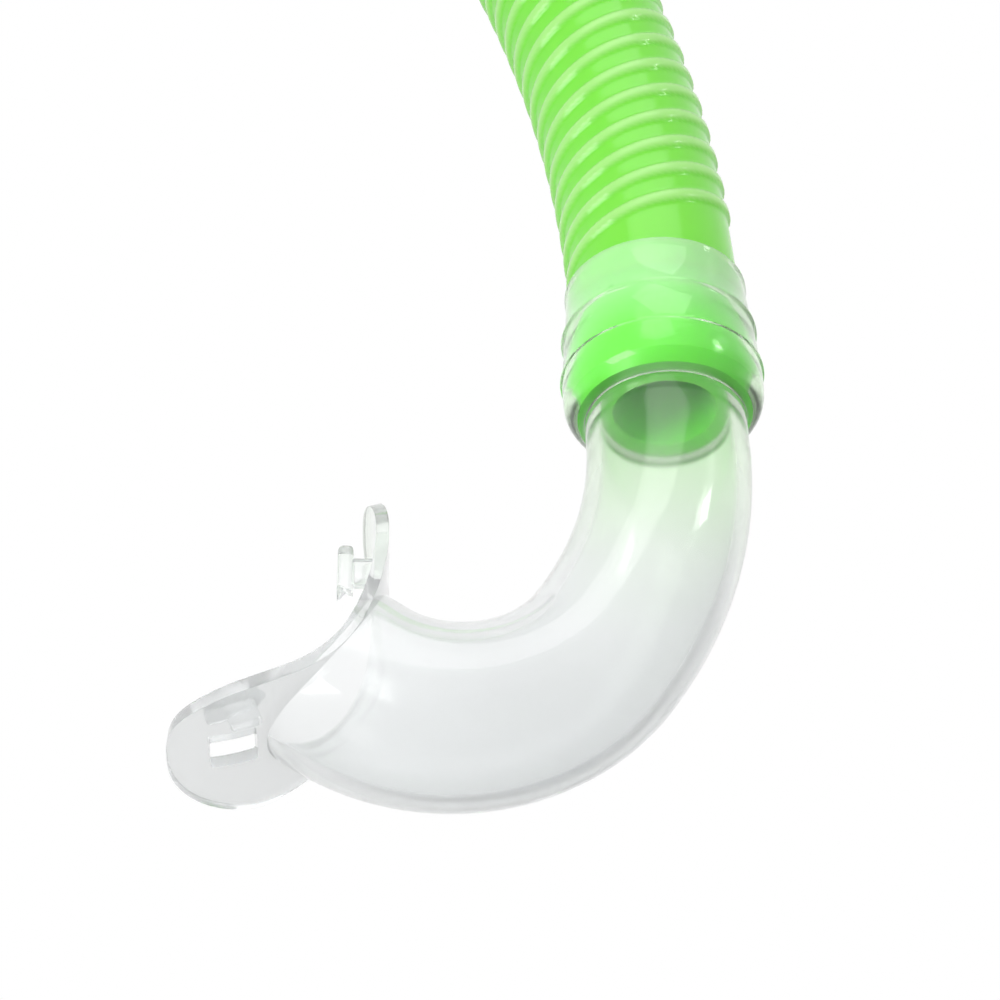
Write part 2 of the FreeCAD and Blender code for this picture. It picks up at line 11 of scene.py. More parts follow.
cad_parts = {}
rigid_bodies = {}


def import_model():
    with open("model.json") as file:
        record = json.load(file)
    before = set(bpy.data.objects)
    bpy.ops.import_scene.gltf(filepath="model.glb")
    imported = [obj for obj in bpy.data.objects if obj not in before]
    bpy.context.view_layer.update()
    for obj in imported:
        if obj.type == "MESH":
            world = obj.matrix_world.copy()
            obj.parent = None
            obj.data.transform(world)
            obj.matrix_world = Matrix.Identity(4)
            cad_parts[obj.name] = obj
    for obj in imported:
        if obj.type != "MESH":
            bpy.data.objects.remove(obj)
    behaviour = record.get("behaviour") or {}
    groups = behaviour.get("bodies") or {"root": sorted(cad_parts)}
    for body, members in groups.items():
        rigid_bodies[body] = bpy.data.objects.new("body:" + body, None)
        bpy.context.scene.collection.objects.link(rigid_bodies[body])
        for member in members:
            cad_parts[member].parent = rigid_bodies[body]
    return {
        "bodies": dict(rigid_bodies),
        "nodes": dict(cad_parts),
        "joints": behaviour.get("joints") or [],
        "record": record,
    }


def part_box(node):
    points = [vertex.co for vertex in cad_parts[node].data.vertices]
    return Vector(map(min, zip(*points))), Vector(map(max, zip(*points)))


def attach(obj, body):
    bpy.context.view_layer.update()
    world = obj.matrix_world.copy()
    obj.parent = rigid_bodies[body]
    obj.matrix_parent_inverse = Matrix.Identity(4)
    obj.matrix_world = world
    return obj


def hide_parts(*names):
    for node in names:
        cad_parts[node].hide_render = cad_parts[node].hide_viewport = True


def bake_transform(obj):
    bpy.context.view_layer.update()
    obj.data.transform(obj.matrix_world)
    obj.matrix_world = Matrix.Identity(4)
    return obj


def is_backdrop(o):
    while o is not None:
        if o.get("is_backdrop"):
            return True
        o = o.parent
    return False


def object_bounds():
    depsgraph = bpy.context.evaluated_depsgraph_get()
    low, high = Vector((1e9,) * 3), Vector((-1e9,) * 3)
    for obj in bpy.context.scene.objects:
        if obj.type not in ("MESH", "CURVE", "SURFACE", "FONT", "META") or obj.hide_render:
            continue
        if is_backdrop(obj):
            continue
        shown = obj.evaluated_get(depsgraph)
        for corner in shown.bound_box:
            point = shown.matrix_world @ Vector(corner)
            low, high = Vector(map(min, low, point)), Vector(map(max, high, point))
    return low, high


LOG = logging.getLogger("snorkel")
MM = 0.001
Section = tuple[Vector, float]

CLOUD_SCALE = 60.0           # faint clouds of colour, per metre
NOISE_DETAIL = 4.0
BRUSH_STRETCH = (0.05, 1.0, 1.0)
SHADE_DEEPER = 0.93          # deep colour of a finish that names none
RELIEF_DEPTH = 0.2 * MM
WALL_LIGHT = (0.9, 0.91, 0.91, 1.0)   # lamp light left behind a clear wall
MERGE_GAP = 1e-6
COUPLER_REACH = 3.0 * MM     # from the barrel's lower end to the hose's top end


class Cut(Enum):
    """Ways to combine two closed meshes."""

    ADD = "UNION"
    REMOVE = "DIFFERENCE"


class Pattern(Enum):
    """Small-scale surface detail of a finish."""

    MOULDED = "moulded"
    BRUSHED = "brushed"
    FOAM = "foam"


# ---------------------------------------------------------------- finishes


@dataclass(frozen=True)
class Finish:
    """One material: its shader numbers and its fine surface detail."""

    name: str
    colour: tuple[float, float, float]
    # Colour at the ramp's low end: a random cloud tone, or painted light where an attribute drives
    # the ramp.
    cloud_or_painted_light_colour: tuple[float, float, float] | None = None
    roughness: float = 0.4
    metallic: float = 0.0
    transmission: float = 0.0
    clearest: float = 0.98
    ior: float = 1.46
    coat: float = 0.0
    coat_roughness: float = 0.05
    scatter: float = 0.0
    scatter_radius: float = 0.004
    bump: float = 0.02
    grain: float = 900.0
    pattern: Pattern = Pattern.MOULDED
    # Attribute that drives the colour ramp to paint light or shade into the colour.
    painted_light_attribute: str | None = None
    haze_attribute: str | None = None
    lets_light_through: bool = False

    def material(self) -> bpy.types.Material:
        """Builds the node material, once.

        Returns:
            The material of this finish.
        """
        made = bpy.data.materials.get(self.name)
        if made is not None:
            return made
        made = bpy.data.materials.new(self.name)
        made.use_nodes = True
        shader = made.node_tree.nodes["Principled BSDF"]
        values = {
            "Roughness": self.roughness,
            "Metallic": self.metallic,
            "Transmission Weight": self.transmission,
            "IOR": self.ior,
            "Coat Weight": self.coat,
            "Coat Roughness": self.coat_roughness,
            "Subsurface Weight": self.scatter,
            "Subsurface Scale": self.scatter_radius,
        }
        for socket, value in values.items():
            shader.inputs[socket].default_value = value
        shader.inputs["Subsurface Radius"].default_value = (1.0, 1.0, 1.0)
        self._tint(made.node_tree, shader)
        self._relief(made.node_tree, shader)
        if self.haze_attribute:
            self._haze(made.node_tree, shader)
        if self.lets_light_through:
            self._open_to_lamps(made.node_tree, shader)
        return made

    def _haze(self, tree: bpy.types.NodeTree, shader: bpy.types.Node) -> None:
        """Makes the finish hazier where its attribute is high.

        Args:
            tree: The material's node tree.
            shader: Its Principled shader.
        """
        source = tree.nodes.new("ShaderNodeAttribute")
        source.attribute_name = self.haze_attribute
        haze = tree.nodes.new("ShaderNodeMapRange")
        haze.inputs["To Min"].default_value = self.clearest
        haze.inputs["To Max"].default_value = self.transmission
        tree.links.new(source.outputs["Fac"], haze.inputs["Value"])
        tree.links.new(haze.outputs["Result"], shader.inputs["Transmission Weight"])

    def _open_to_lamps(self, tree: bpy.types.NodeTree, shader: bpy.types.Node) -> None:
        """Lets the lamps' light pass a clear wall on its way to what lies behind it.

        Args:
            tree: The material's node tree.
            shader: Its Principled shader.
        """
        path = tree.nodes.new("ShaderNodeLightPath")
        clear = tree.nodes.new("ShaderNodeBsdfTransparent")
        clear.inputs["Color"].default_value = WALL_LIGHT
        mix = tree.nodes.new("ShaderNodeMixShader")
        tree.links.new(path.outputs["Is Shadow Ray"], mix.inputs[0])
        tree.links.new(shader.outputs[0], mix.inputs[1])
        tree.links.new(clear.outputs[0], mix.inputs[2])
        tree.links.new(mix.outputs[0], tree.nodes["Material Output"].inputs["Surface"])

    def _texture(self, tree: bpy.types.NodeTree, scale: float) -> bpy.types.Node:
        """Noise in the piece's own coordinates, stretched where the finish is brushed.

        Args:
            tree: The material's node tree.
            scale: Noise scale per metre.

        Returns:
            The noise node.
        """
        place = tree.nodes.new("ShaderNodeTexCoord")
        stretch = tree.nodes.new("ShaderNodeMapping")
        if self.pattern is Pattern.BRUSHED:
            stretch.inputs["Scale"].default_value = BRUSH_STRETCH
        noise = tree.nodes.new("ShaderNodeTexNoise")
        noise.inputs["Scale"].default_value = scale
        noise.inputs["Detail"].default_value = NOISE_DETAIL
        tree.links.new(place.outputs["Object"], stretch.inputs["Vector"])
        tree.links.new(stretch.outputs["Vector"], noise.inputs["Vector"])
        return noise

    def _tint(self, tree: bpy.types.NodeTree, shader: bpy.types.Node) -> None:
        """Colours the shader, with faint clouds of random tone, or with painted light from an
        attribute of the piece: painted green see-through light on the silicone, painted highlight
        and painted shade on the hose's ribs.

        Args:
            tree: The material's node tree.
            shader: Its Principled shader.
        """
        ramp = tree.nodes.new("ShaderNodeValToRGB")
        ramp.color_ramp.elements[0].color = (*(self.cloud_or_painted_light_colour or self._darker()), 1.0)
        ramp.color_ramp.elements[1].color = (*self.colour, 1.0)
        if self.painted_light_attribute:
            source = tree.nodes.new("ShaderNodeAttribute")
            source.attribute_name = self.painted_light_attribute
            tree.links.new(source.outputs["Fac"], ramp.inputs["Fac"])
        else:
            clouds = self._texture(tree, CLOUD_SCALE)
            tree.links.new(clouds.outputs["Fac"], ramp.inputs["Fac"])
        tree.links.new(ramp.outputs["Color"], shader.inputs["Base Color"])

    def _darker(self) -> tuple[float, float, float]:
        """The colour a shade deeper."""
        return tuple(channel * SHADE_DEEPER for channel in self.colour)

    def _relief(self, tree: bpy.types.NodeTree, shader: bpy.types.Node) -> None:
        """Adds the fine bump of a moulded, brushed or foam surface.

        Args:
            tree: The material's node tree.
            shader: Its Principled shader.
        """
        if self.pattern is Pattern.FOAM:
            place = tree.nodes.new("ShaderNodeTexCoord")
            grain = tree.nodes.new("ShaderNodeTexVoronoi")
            grain.inputs["Scale"].default_value = self.grain
            tree.links.new(place.outputs["Object"], grain.inputs["Vector"])
            height = grain.outputs["Distance"]
        else:
            height = self._texture(tree, self.grain).outputs["Fac"]
        bump = tree.nodes.new("ShaderNodeBump")
        bump.inputs["Strength"].default_value = self.bump
        bump.inputs["Distance"].default_value = RELIEF_DEPTH
        tree.links.new(height, bump.inputs["Height"])
        tree.links.new(bump.outputs["Normal"], shader.inputs["Normal"])


# Painted light: near the green sleeve the silicone is painted green, standing in for the sleeve's
# light showing through, fading to plain milky white down the elbow.
SILICONE = Finish(
    "milky_silicone", (0.93, 0.94, 0.944), cloud_or_painted_light_colour=(0.80, 0.96, 0.75), roughness=0.12,
    transmission=0.76, ior=1.28, coat=0.5, coat_roughness=0.05, bump=0.012, grain=250.0,
    painted_light_attribute="painted_green_fade", haze_attribute="haze", lets_light_through=True)
# Painted light: the raised ribs are painted the lighter green as a painted highlight, and the
# grooves and smooth ends the deeper green as painted shade.
HOSE_GREEN = Finish(
    "lime_hose", (0.41, 0.93, 0.23), cloud_or_painted_light_colour=(0.22, 0.86, 0.05), roughness=0.18,
    scatter=0.35, coat=0.1, bump=0.01, grain=300.0, painted_light_attribute="rib")
SLEEVE_GREEN = Finish(
    "lime_sleeve", (0.17, 0.86, 0.03), cloud_or_painted_light_colour=(0.15, 0.84, 0.02), roughness=0.3,
    scatter=0.3, bump=0.01, grain=300.0)
TUBE_GREEN = Finish(
    "lime_tube", (0.27, 0.89, 0.09), cloud_or_painted_light_colour=(0.24, 0.87, 0.07), roughness=0.14,
    scatter=0.3, coat=0.6, bump=0.01, grain=300.0)
TOP_GREEN = Finish(
    "lime_moulding", (0.20, 0.70, 0.05), roughness=0.34, coat=0.15, bump=0.05, grain=1500.0)
BAND_ORANGE = Finish(
    "signal_orange", (0.95, 0.16, 0.01), roughness=0.3, coat=0.5, bump=0.03, grain=700.0)
BLACK = Finish("black_moulding", (0.022, 0.022, 0.024), roughness=0.42, bump=0.10, grain=2200.0)
SOFT_GREY = Finish(
    "soft_grey_silicone", (0.16, 0.165, 0.17), roughness=0.55, bump=0.05, grain=1200.0)
STEEL = Finish(
    "steel", (0.62, 0.63, 0.64), roughness=0.28, metallic=1.0, bump=0.06, grain=2500.0,
    pattern=Pattern.BRUSHED)
WHITE = Finish("white_moulding", (0.80, 0.81, 0.81), roughness=0.38, bump=0.05, grain=1500.0)
FOAM = Finish(
    "white_foam", (0.84, 0.84, 0.82), roughness=0.75, bump=0.35, grain=1600.0,
    pattern=Pattern.FOAM)


# ---------------------------------------------------------------- the workbench


class Bench:
    """Modelling moves that several pieces share."""

    @staticmethod
    def clear() -> None:
        """Deselects everything."""
        for other in bpy.context.view_layer.objects:
            other.select_set(False)

    @classmethod
    def pick(cls, piece: bpy.types.Object) -> None:
        """Makes one object the only selected and active one.

        Args:
            piece: The object to pick.
        """
        cls.clear()
        piece.select_set(True)
        bpy.context.view_layer.objects.active = piece

    @classmethod
    def sweep(cls, name: str, sections: Sequence[Section], sides: int) -> bpy.types.Object:
        """Closed round tube through sections of changing radius.

        Args:
            name: Name of the object.
            sections: Centre and radius of each section, in order.
            sides: Number of sides, a multiple of four.

        Returns:
            The tube as a mesh object.
        """
        cls.clear()
        curve = bpy.data.curves.new(name, "CURVE")
        curve.dimensions = "3D"
        spline = curve.splines.new("POLY")
        spline.points.add(len(sections) - 1)
        for point, (centre, radius) in zip(spline.points, sections):
            point.co = (*centre, 1.0)
            point.radius = radius / MM
        curve.bevel_depth = MM
        curve.bevel_resolution = sides // 4 - 1
        curve.use_fill_caps = True
        tube = bpy.data.objects.new(name, curve)
        bpy.context.scene.collection.objects.link(tube)
        cls.pick(tube)
        bpy.ops.object.convert(target="MESH")
        tube = bpy.context.view_layer.objects.active
        bpy.ops.object.mode_set(mode="EDIT")
        bpy.ops.mesh.select_all(action="SELECT")
        bpy.ops.mesh.remove_doubles(threshold=MERGE_GAP)
        bpy.ops.mesh.normals_make_consistent(inside=False)
        bpy.ops.object.mode_set(mode="OBJECT")
        return tube

    @classmethod
    def apply(cls, piece: bpy.types.Object) -> None:
        """Applies every modifier of a piece.

        Args:
            piece: The object to finish.
        """
        cls.pick(piece)
        for modifier in list(piece.modifiers):
            bpy.ops.object.modifier_apply(modifier=modifier.name)

    @classmethod
    def combine(cls, piece: bpy.types.Object, tool: bpy.types.Object, cut: Cut) -> None:
        """Adds a closed mesh to another or removes it, and deletes the tool.

        Args:
            piece: The object that stays.
            tool: The closed mesh to add or remove.
            cut: Whether to add or remove.
        """
        modifier = piece.modifiers.new("combine", "BOOLEAN")
        modifier.operation = cut.value
        modifier.solver = "EXACT"
        modifier.object = tool
        cls.apply(piece)
        bpy.data.objects.remove(tool)

    @classmethod
    def block(cls, name: str, size: Sequence[float], middle: Sequence[float],
              bevel: float) -> bpy.types.Object:
        """Box with rounded edges.

        Args:
            name: Name of the object.
            size: Length along X, Y and Z.
            middle: Its centre.
            bevel: Radius of its edges.

        Returns:
            The box as a mesh object.
        """
        cls.clear()
        bpy.ops.mesh.primitive_cube_add(size=1.0, location=middle)
        box = bpy.context.view_layer.objects.active
        box.name = name
        box.scale = size
        bpy.ops.object.transform_apply(location=True, rotation=True, scale=True)
        if bevel > 0:
            rounding = box.modifiers.new("rounding", "BEVEL")
            rounding.width = bevel
            rounding.segments = 4
            cls.apply(box)
        return box

    @classmethod
    def smooth(cls, piece: bpy.types.Object, degrees: float = 35.0) -> None:
        """Shades a piece smooth except over sharp edges.

        Args:
            piece: The object to shade.
            degrees: The angle from which an edge stays sharp.
        """
        cls.pick(piece)
        bpy.ops.object.shade_smooth_by_angle(angle=math.radians(degrees))
        cls.clear()

    @staticmethod
    def reshape(piece: bpy.types.Object, move: Callable[[Vector], Vector]) -> None:
        """Moves every vertex by a rule.

        Args:
            piece: The object to shape.
            move: Gives the new place of a vertex from its old one.
        """
        for vertex in piece.data.vertices:
            vertex.co = move(vertex.co.copy())
        piece.data.update()

    @staticmethod
    def dress(piece: bpy.types.Object, finish: Finish) -> None:
        """Gives a piece one finish all over.

        Args:
            piece: The object to paint.
            finish: Its finish.
        """
        piece.data.materials.clear()
        piece.data.materials.append(finish.material())


# ---------------------------------------------------------------- the object's own frame


@dataclass
class Layout:
    """Where things are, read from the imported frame."""

    frame: dict

    def joint(self, name: str) -> dict:
        """The joint of that name."""
        return next(joint for joint in self.frame["joints"] if joint["name"] == name)

    @property
    def elbow(self) -> Matrix:
        """Placement of the elbow's start: local +Z runs up the hose, the bend goes to -X.

        Returns:
            The matrix from the elbow's own frame to the object's.
        """
        swivel = self.joint("mouthpiece_swivel")
        up = Vector(swivel["axis"]).normalized()
        side = Vector((0, 1, 0))
        across = side.cross(up)
        turn = Matrix((across, side, up)).transposed().to_4x4()
        return Matrix.Translation(Vector(swivel["pos_m"])) @ turn

    @property
    def hose_top(self) -> Vector:
        """Middle of the hose's top end."""
        low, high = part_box("barrel")
        return Vector(((low.x + high.x) / 2, 0, low.z - COUPLER_REACH))


# ---------------------------------------------------------------- mouthpiece


@dataclass
class Mouthpiece:
    """Clear silicone cuff, elbow, bite flange and lugs, made in the elbow's own frame."""

    layout: Layout
    sides: int = 128
    start_r: float = 11.3 * MM
    end_deep_r: float = 13.25 * MM
    end_side_r: float = 11.9 * MM
    growth: float = 0.8
    wall: float = 2.1 * MM
    run: float = 1.5 * MM
    bend_radii: tuple[float, float] = (57.2 * MM, 23.6 * MM)
    turns: tuple[float, float] = (36.0, 127.1)
    seat_z: float = 4.5 * MM
    bore_r: float = 12.05 * MM
    rim_z: float = 26.6 * MM
    seat_r: float = 13.15 * MM
    seat_chamfer: float = 2.0 * MM
    seat_tall: float = 6.3 * MM
    seat_taper: float = 9.0 * MM
    flange_r: float = 26.4 * MM
    flange_thick: float = 1.7 * MM
    flange_half_arc: float = 27.1 * MM
    flange_waist: float = 12.1 * MM
    flange_lobe: float = 16.4 * MM
    flange_power: float = 2.6
    window_arc: float = 18.3 * MM
    window: tuple[float, float] = (6.2 * MM, 6.0 * MM)
    window_shift: float = -0.5 * MM
    lug_arc: float = 16.2 * MM
    neck: tuple[float, float] = (4.0 * MM, 2.0 * MM)
    neck_shift: float = -4.6 * MM
    lug_gap: float = 3.1 * MM
    plate: tuple[float, float] = (8.7 * MM, 4.0 * MM)
    plate_shift: float = -3.4 * MM
    plate_thick: float = 2.1 * MM
    painted_green_and_haze_run: float = 26.0 * MM
    haze_fade: float = 0.6
    tail: float = 6.0 * MM
    airway_tail: float = 9.0 * MM
    ledge: float = 0.6 * MM
    ledge_step: float = 0.05 * MM
    rim_past: float = 1.0 * MM
    grid: tuple[int, int] = (72, 44)
    neck_root: float = 0.2 * MM
    neck_depth_share: float = 0.9
    trim_sides: int = 160
    trim_width: float = 80 * MM
    edge_segments: int = 5
    edge_angle: float = 60.0
    bore_flare: float = 0.3 * MM
    flare_deep: float = 6.0 * MM
    lobe_rise: float = 1.3
    edge_round: float = 0.42
    neck_bevel: float = 0.5 * MM
    plate_bevel: float = 0.7 * MM
    window_bevel: float = 0.4 * MM
    smooth_angle: float = 32.0
    clear_span: tuple[float, float] = (-7.0 * MM, 12.0 * MM)
    cuff_outline: tuple[tuple[float, float], ...] = field(default=(
        (26.6, 12.40), (26.5, 12.80), (26.2, 13.02), (25.8, 13.02), (25.4, 12.84), (25.0, 12.80),
        (22.0, 13.10), (18.75, 13.36), (18.5, 13.50), (18.25, 13.86), (17.9, 13.90), (17.65, 13.66),
        (17.3, 13.52), (14.5, 13.80), (11.6, 13.92), (11.35, 14.02), (11.1, 14.34), (10.75, 14.36),
        (10.6, 14.14), (10.3, 14.10), (7.6, 14.10), (6.7, 14.02), (5.9, 13.80), (5.2, 13.42),
        (4.6, 12.90), (4.15, 12.32), (3.85, 11.80), (3.6, 11.48), (3.35, 11.34), (3.0, 11.30)))

    def _arc(self, start: Vector, radius: float, low: float) -> Callable[[float], Vector]:
        """Point on one arc of the elbow as a function of the turn.

        Args:
            start: Where the arc starts.
            radius: Radius of its middle line.
            low: Turn at its start, in degrees.

        Returns:
            The function from degrees to a point.
        """
        def spoke(degrees: float) -> Vector:
            """Direction from the arc's centre after a turn."""
            angle = math.radians(degrees)
            return Vector((math.cos(angle), 0, -math.sin(angle)))
        return lambda degrees: start + (spoke(degrees) - spoke(low)) * radius

    def _heading(self, degrees: float) -> Vector:
        """Direction of the airway after a turn."""
        angle = math.radians(degrees)
        return Vector((-math.sin(angle), 0, -math.cos(angle)))

    def _bend(self, shrink: float, tail: float, step: float = 1.5) -> list[Section]:
        """Sections along the elbow, from its start to a tail beyond its end.

        Args:
            shrink: How much smaller than the outside each section is.
            tail: Straight run beyond the mouth.
            step: Degrees between sections.

        Returns:
            Centre and radius of each section; the radius is the one in the plane of the bend.
        """
        sections: list[Section] = []
        point, low = self._heading(0) * self.run, 0.0
        for radius, high in zip(self.bend_radii, self.turns):
            place = self._arc(point, radius, low)
            count = math.ceil((high - low) / step)
            for i in range(count):
                turn = low + (high - low) * i / count
                sections.append((place(turn), self._deep(turn) - shrink))
            point, low = place(high), high
        sections.append((point, self._deep(low) - shrink))
        sections.append((point + self._heading(low) * tail, self._deep(low) - shrink))
        return sections

    def _deep(self, turn: float) -> float:
        """Outside radius in the plane of the bend after a turn."""
        share = (turn / self.turns[1]) ** self.growth
        return self.start_r + (self.end_deep_r - self.start_r) * share

    def _oval(self, shrink: float) -> Callable[[Vector], Vector]:
        """Rule that narrows the elbow across its bend, more and more towards the mouth.

        Args:
            shrink: How much smaller than the outside the swept tube is.

        Returns:
            The rule for one vertex.
        """
        centre = self._arc(self._heading(0) * self.run, self.bend_radii[0], 0)(self.turns[0])
        first = math.radians(self.turns[0])
        pivot = centre - Vector((math.cos(first), 0, -math.sin(first))) * self.bend_radii[1]

        def move(place: Vector) -> Vector:
            """Narrows one place, by how far round the elbow it is.

            Args:
                place: The place on the round tube.

            Returns:
                The place on the oval one.
            """
            if place.z > -self.run and place.x > -self.bend_radii[1]:
                return place
            spoke = place - pivot
            turn = math.degrees(math.atan2(-spoke.z, spoke.x)) % 360
            turn = min(turn, self.turns[1]) if turn < 270 else 0.0
            share = (turn / self.turns[1]) ** self.growth
            side = self.start_r + (self.end_side_r - self.start_r) * share - shrink
            place.y *= side / (self._deep(turn) - shrink)
            return place
        return move

    def _outside(self) -> bpy.types.Object:
        """Solid skin of cuff and elbow.

        Returns:
            The skin, without its bore.
        """
        cuff = [(Vector((0, 0, z * MM)), radius * MM) for z, radius in self.cuff_outline]
        skin = Bench.sweep("mouthpiece_skin", cuff + self._bend(0.0, self.tail), self.sides)
        Bench.reshape(skin, self._oval(0.0))
        return skin

    def _airway(self) -> bpy.types.Object:
        """Solid of the bore, to be removed.

        Returns:
            The bore as a closed mesh.
        """
        cuff = [(Vector((0, 0, self.rim_z + self.rim_past)), self.bore_r + self.bore_flare),
                (Vector((0, 0, self.rim_z)), self.bore_r + self.bore_flare),
                (Vector((0, 0, self.rim_z - self.flare_deep)), self.bore_r),
                (Vector((0, 0, self.seat_z + self.seat_tall + self.seat_taper)), self.bore_r),
                (Vector((0, 0, self.seat_z + self.seat_tall)), self.seat_r),
                (Vector((0, 0, self.seat_z + self.seat_chamfer)), self.seat_r),
                (Vector((0, 0, self.seat_z)), self.seat_r - self.seat_chamfer / 2),
                (Vector((0, 0, self.seat_z - self.ledge_step)),
                 self.start_r - self.wall + self.ledge),
                (Vector((0, 0, self.seat_z - self.ledge)), self.start_r - self.wall)]
        bore = Bench.sweep("airway", cuff + self._bend(self.wall, self.airway_tail), self.sides)
        Bench.reshape(bore, self._oval(self.wall))
        return bore

    def _flange_place(self) -> Matrix:
        """Placement at the flange: local +Z looks out of the mouth, +X along the flange.

        Returns:
            The matrix from the flange's frame to the elbow's.
        """
        point = self._bend(0.0, 0.0)[-1][0]
        outward = -self._heading(self.turns[1])
        along = Vector((0, 1, 0)).cross(outward)
        turn = Matrix((along, Vector((0, 1, 0)), outward)).transposed().to_4x4()
        return Matrix.Translation(point) @ turn

    def _wrap(self, place: Vector) -> Vector:
        """Bends a flat place round the flange's curve.

        Args:
            place: Along the flange, across it and out of it.

        Returns:
            The place on the curve.
        """
        angle = place.x / self.flange_r
        radius = self.flange_r + place.z
        return Vector((radius * math.sin(angle), place.y, radius * math.cos(angle) - self.flange_r))

    def _lobes(self, place: Vector) -> Vector:
        """Maps the square grid to the flange's outline, laid flat.

        Args:
            place: A place on the grid, from -1 to 1 each way.

        Returns:
            The place on the flat flange.
        """
        u, v = place.x, place.y
        x = u * math.sqrt(max(0.0, 1 - v * v / 2))
        y = v * math.sqrt(max(0.0, 1 - u * u / 2))
        reach = math.hypot(x, y)
        if reach > 1e-9:
            power = self.flange_power
            edge = (abs(x / reach) ** power + abs(y / reach) ** power) ** (-1 / power)
            x, y = x * edge, y * edge
        spread = 0.5 - 0.5 * math.cos(math.pi * min(1.0, abs(x) * self.lobe_rise))
        half = self.flange_waist + (self.flange_lobe - self.flange_waist) * spread
        return Vector((x * self.flange_half_arc, y * half, 0))

    def _flange(self) -> bpy.types.Object:
        """Curved bite flange with a fully rounded edge.

        Returns:
            The flange, in its own frame.
        """
        Bench.clear()
        bpy.ops.mesh.primitive_grid_add(x_subdivisions=self.grid[0], y_subdivisions=self.grid[1],
                                        size=2.0)
        flange = bpy.context.view_layer.objects.active
        Bench.reshape(flange, self._lobes)
        thick = flange.modifiers.new("thickness", "SOLIDIFY")
        thick.thickness = self.flange_thick
        thick.offset = -1.0
        rounding = flange.modifiers.new("rounding", "BEVEL")
        rounding.width = self.flange_thick * self.edge_round
        rounding.segments = self.edge_segments
        rounding.limit_method = "ANGLE"
        rounding.angle_limit = math.radians(self.edge_angle)
        Bench.apply(flange)
        Bench.reshape(flange, self._wrap)
        return flange

    def _along_flange(self, piece: bpy.types.Object, arc: float) -> None:
        """Carries a piece made at the flange's middle along its curve.

        Args:
            piece: The piece to carry.
            arc: How far along the curve.
        """
        angle = arc / self.flange_r
        centre = Matrix.Translation((0, 0, -self.flange_r))
        piece.data.transform(centre @ Matrix.Rotation(angle, 4, "Y") @ centre.inverted())

    def _lug_parts(self, side: int) -> list[bpy.types.Object]:
        """Neck and bite plate of one lug.

        Args:
            side: Which lobe, -1 or 1.

        Returns:
            The two solids.
        """
        back = -self.flange_thick
        depth = self.lug_gap + self.flange_thick * self.neck_depth_share
        neck_low = back - self.lug_gap - self.neck_root
        neck = Bench.block("lug_neck", (*self.neck, depth),
                           (0, self.neck_shift, neck_low + depth / 2), self.neck_bevel)
        plate_middle = back - self.lug_gap - self.plate_thick / 2
        plate = Bench.block("lug_plate", (*self.plate, self.plate_thick),
                            (0, self.plate_shift, plate_middle), self.plate_bevel)
        for piece in (neck, plate):
            self._along_flange(piece, side * self.lug_arc)
        return [neck, plate]

    def _mark_painted_green_and_haze(self, skin: bpy.types.Object) -> None:
        """Marks how far each place is from the green sleeve, which sets the painted green
        see-through light, and how hazy it is.

        Args:
            skin: The moulding, still in the elbow's own frame.
        """
        heights = [vertex.co.z for vertex in skin.data.vertices]
        # Painted green see-through light: full green on the cuff, fading to none a run's length
        # down the elbow.
        painted_green_fade = skin.data.attributes.new("painted_green_fade", "FLOAT", "POINT")
        painted_green_fade.data.foreach_set(
            "value", [min(1.0, max(0.0, -z / self.painted_green_and_haze_run)) for z in heights])
        low, high = self.clear_span
        fade = self.haze_fade * high
        haze = skin.data.attributes.new("haze", "FLOAT", "POINT")
        haze.data.foreach_set(
            "value",
            [min(1.0, max(0.0, (z - high) / fade, (low - z) / self.painted_green_and_haze_run)) for z in heights])

    def build(self) -> bpy.types.Object:
        """Models the moulding and puts it in place.

        Returns:
            The finished mouthpiece.
        """
        frame = self._flange_place()
        skin = self._outside()
        Bench.clear()
        bpy.ops.mesh.primitive_cylinder_add(
            vertices=self.trim_sides, radius=self.flange_r - self.flange_thick / 2,
            depth=self.trim_width, rotation=(math.pi / 2, 0, 0),
            location=(0, 0, -self.flange_r))
        beyond = bpy.context.view_layer.objects.active
        bpy.ops.object.transform_apply(location=True, rotation=True, scale=True)
        beyond.data.transform(frame)
        Bench.combine(skin, beyond, Cut.REMOVE)
        flange = self._flange()
        for side in (-1, 1):
            for part in self._lug_parts(side):
                Bench.combine(flange, part, Cut.ADD)
            window = Bench.block("window", (*self.window, 3 * self.flange_thick),
                                 (0, self.window_shift, 0), self.window_bevel)
            self._along_flange(window, side * self.window_arc)
            Bench.combine(flange, window, Cut.REMOVE)
        flange.data.transform(frame)
        Bench.combine(skin, flange, Cut.ADD)
        Bench.combine(skin, self._airway(), Cut.REMOVE)
        self._mark_painted_green_and_haze(skin)
        skin.data.transform(self.layout.elbow)
        skin.name = "silicone_mouthpiece"
        Bench.smooth(skin, self.smooth_angle)
        Bench.dress(skin, SILICONE)
        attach(skin, "mouthpiece")
        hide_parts("mouthpiece")
        return skin


# ---------------------------------------------------------------- hose


